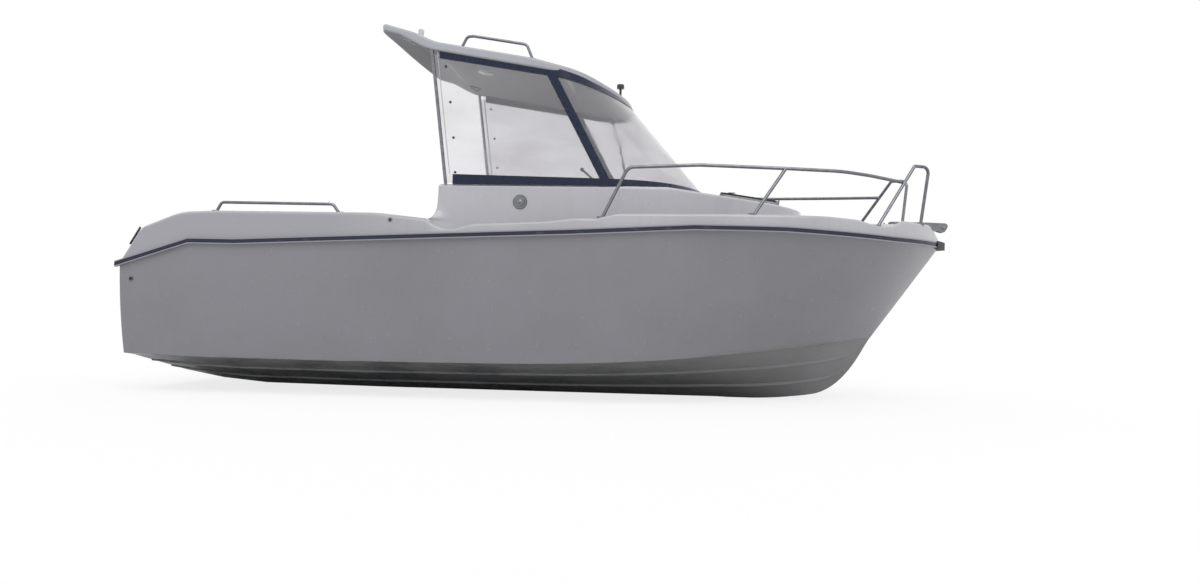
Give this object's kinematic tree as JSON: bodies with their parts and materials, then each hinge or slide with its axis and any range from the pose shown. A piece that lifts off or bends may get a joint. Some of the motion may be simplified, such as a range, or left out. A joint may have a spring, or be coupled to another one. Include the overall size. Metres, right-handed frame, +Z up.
{
  "type": "pilothouse boat",
  "caption": "Small keeled glass-fibre pilothouse boat: V hull, wrap-round glasshouse under an upswept roof, open cockpit with motor well, bow rails; lids, door and wheel turn.",
  "frame": {"origin": "on the waterline plane, amidships, on the centreline", "axes": "+X towards the bow, +Y to port, +Z up"},
  "size_m": [6.2697, 2.476, 2.9933],
  "materials": {
    "white_gelcoat": "gloss",
    "hull_gelcoat": "gloss",
    "navy_trim": "semi gloss",
    "navy_vinyl_rail": "satin",
    "black_rubber": "matte",
    "stainless": "polished",
    "clear_glass": "clear",
    "white_plastic": "satin",
    "black_plastic": "satin",
    "lens": "gloss",
    "non_slip_sole": "textured",
    "cushion_vinyl": "satin vinyl",
    "smoked_acrylic": "gloss",
    "board_plastic": "satin",
    "aluminium_frame": "anodised"
  },
  "bodies": {
    "boat": {"aft_posts": "stainless", "berth": "white_gelcoat", "berth_cushion": "cushion_vinyl", "bow_cap": "black_rubber", "bow_cleat": "stainless", "bow_roller": "stainless", "bulkhead": "white_gelcoat", "coamings": "white_gelcoat", "console": "white_gelcoat", "deck": "white_gelcoat", "deckhouse": "white_gelcoat", "dome_light": "lens", "filler_cap": "stainless", "hatch_frame": "aluminium_frame", "hinges": "stainless", "hull": "hull_gelcoat", "lower_band": "navy_trim", "motor_board": "board_plastic", "pads": "cushion_vinyl", "pillars": "navy_trim", "pulpit_port": "stainless", "pulpit_starboard": "stainless", "roof": "white_gelcoat", "roof_lights": "lens", "roof_rails": "stainless", "rub_rail": "navy_vinyl_rail", "seats": "white_plastic", "side_windows": "clear_glass", "skin_fittings": "stainless", "sole": "non_slip_sole", "stern_cleats": "stainless", "stern_moulding": "white_gelcoat", "stern_rails": "stainless", "throttle": "black_plastic", "toe_rails": "white_gelcoat", "upper_band": "navy_trim", "windscreen": "clear_glass", "wiper": "black_plastic"},
    "hatch_lid": {"hatch_lid": "smoked_acrylic"},
    "anchor_lid": {"anchor_lid": "white_gelcoat"},
    "stern_lid_port": {"stern_lid_port": "white_gelcoat"},
    "stern_lid_starboard": {"stern_lid_starboard": "white_gelcoat"},
    "cabin_door": {"cabin_door": "smoked_acrylic"},
    "steering_wheel": {"steering_wheel": "black_plastic"},
    "roller_wheel": {"roller_wheel": "black_rubber"}
  },
  "joints": [
    {"name": "hatch_lid_hinge", "type": "hinge", "parent": "boat", "child": "hatch_lid", "pos_m": [1.80551, 0, 1.26995], "axis": [0, 1, 0], "range_deg": [0, 90]},
    {"name": "anchor_lid_hinge", "type": "hinge", "parent": "boat", "child": "anchor_lid", "pos_m": [2.635, 0, 1.1065], "axis": [0, 1, 0], "range_deg": [0, 85]},
    {"name": "stern_lid_hinge_port", "type": "hinge", "parent": "boat", "child": "stern_lid_port", "pos_m": [-2.98, 0.645, 0.6615], "axis": [0, -1, 0], "range_deg": [0, 80]},
    {"name": "stern_lid_hinge_starboard", "type": "hinge", "parent": "boat", "child": "stern_lid_starboard", "pos_m": [-2.98, -0.645, 0.6615], "axis": [0, -1, 0], "range_deg": [0, 80]},
    {"name": "cabin_door_hinge", "type": "hinge", "parent": "boat", "child": "cabin_door", "pos_m": [0.7115, 0.405, 0.71], "axis": [0, 0, -1], "range_deg": [0, 100]},
    {"name": "steering_wheel_turn", "type": "hinge", "parent": "boat", "child": "steering_wheel", "pos_m": [0.385, -0.53, 0.99], "axis": [-0.9606, 0, 0.2781], "range_deg": [-540, 540]},
    {"name": "roller_wheel_spin", "type": "hinge", "parent": "boat", "child": "roller_wheel", "pos_m": [3.112, 0, 1.084], "axis": [0, 1, 0], "continuous": true}
  ]
}
